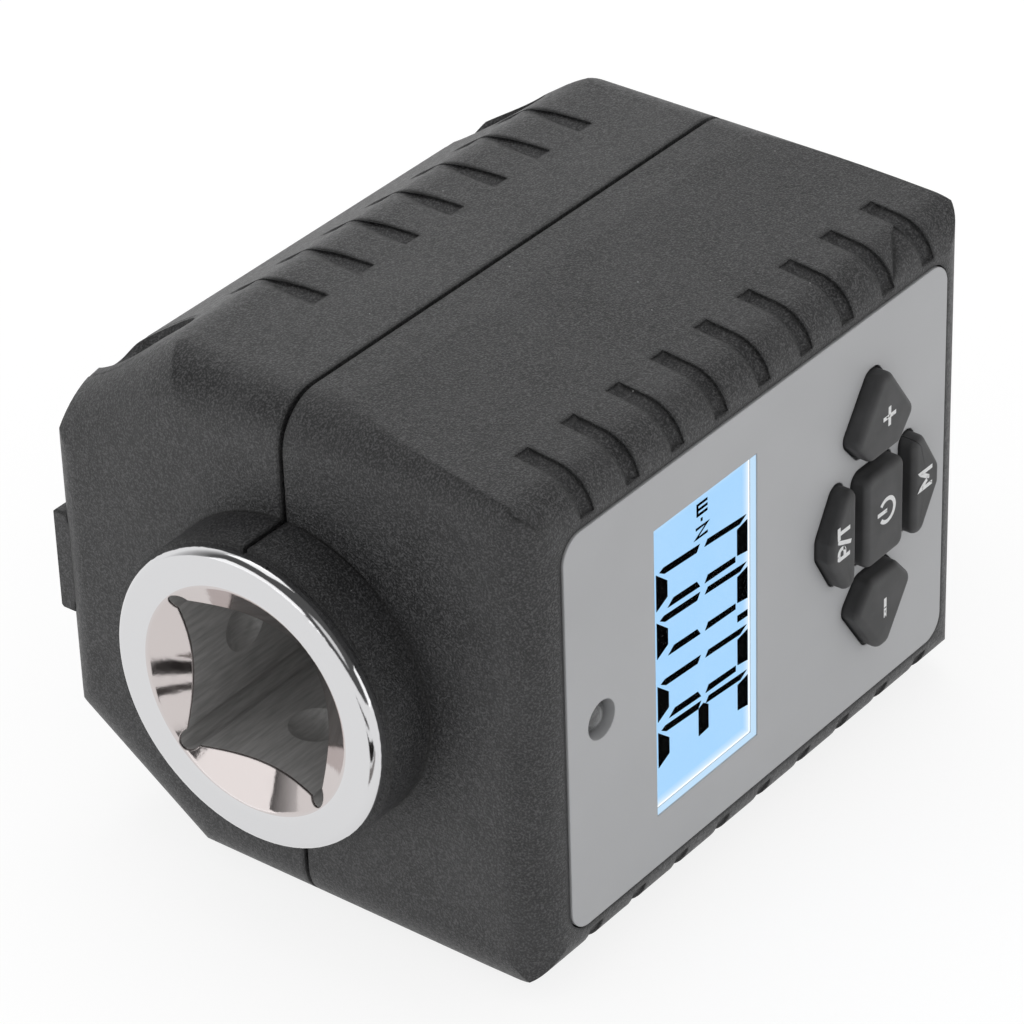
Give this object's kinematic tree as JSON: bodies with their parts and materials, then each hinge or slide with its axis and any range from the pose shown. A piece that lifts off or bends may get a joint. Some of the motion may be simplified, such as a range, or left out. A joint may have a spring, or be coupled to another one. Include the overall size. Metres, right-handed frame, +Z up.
{
  "type": "digital torque adapter",
  "caption": "Digital torque adapter: a square drive spindle through a moulded housing with a display, five keys, an indicator lamp and a battery bay behind a lift-off cover.",
  "frame": {"origin": "on the drive axis, at the outer face of the bright ring at the wrench end", "axes": "+X along the drive axis towards the male square, -Y out of the face plate, +Z up with the adapter standing on its side"},
  "size_m": [0.0792, 0.0482, 0.0444],
  "materials": {
    "shell": "fine spark-eroded texture",
    "plate": "satin grey",
    "lens": "clear polished",
    "display": "lit display",
    "light": "diffusing",
    "strip": "matt",
    "board": "solder mask",
    "chip": "moulded",
    "switch": "plated",
    "lamp": "clear",
    "key": "fine matt",
    "spindle": "polished plating",
    "ball": "polished",
    "gauge": "foil on polyimide",
    "cell": "satin sleeve",
    "contact": "nickel plated",
    "wire": "insulation",
    "screw": "zinc plated"
  },
  "bodies": {
    "unit": {"front_shell": "shell", "rear_shell": "shell", "face_plate": "plate", "window_lens": "lens", "display_glass": "display", "backlight": "light", "contact_strip": "strip", "main_board": "board", "board_chips": "chip", "key_switches": "switch", "sounder": "chip", "indicator_lamp": "lamp", "spindle": "spindle", "detent_spring": "ball", "strain_gauges": "gauge", "gauge_flex": "gauge", "battery_cells": "cell", "battery_terminals": "contact", "battery_link": "contact", "battery_leads": "wire", "housing_screws": "screw", "board_screws": "screw"},
    "power_key": {"key_power": "key"},
    "track_key": {"key_track": "key"},
    "mode_key": {"key_mode": "key"},
    "plus_key": {"key_plus": "key"},
    "minus_key": {"key_minus": "key"},
    "ball": {"detent_ball": "ball"},
    "cover": {"battery_cover": "shell"}
  },
  "joints": [
    {"name": "power_key_press", "type": "slide", "parent": "unit", "child": "power_key", "axis": [0, 1, 0], "range_m": [0, 0.0006], "stiffness_N_per_m": 600},
    {"name": "track_key_press", "type": "slide", "parent": "unit", "child": "track_key", "axis": [0, 1, 0], "range_m": [0, 0.0006], "stiffness_N_per_m": 600},
    {"name": "mode_key_press", "type": "slide", "parent": "unit", "child": "mode_key", "axis": [0, 1, 0], "range_m": [0, 0.0006], "stiffness_N_per_m": 600},
    {"name": "plus_key_press", "type": "slide", "parent": "unit", "child": "plus_key", "axis": [0, 1, 0], "range_m": [0, 0.0006], "stiffness_N_per_m": 600},
    {"name": "minus_key_press", "type": "slide", "parent": "unit", "child": "minus_key", "axis": [0, 1, 0], "range_m": [0, 0.0006], "stiffness_N_per_m": 600},
    {"name": "ball_press", "type": "slide", "parent": "unit", "child": "ball", "axis": [0, 0, -1], "range_m": [0, 0.0012], "stiffness_N_per_m": 1500, "deforming": ["detent_spring"]},
    {"name": "cover_lift", "type": "slide", "parent": "unit", "child": "cover", "axis": [0, 1, 0], "range_m": [0, 0.02]}
  ]
}
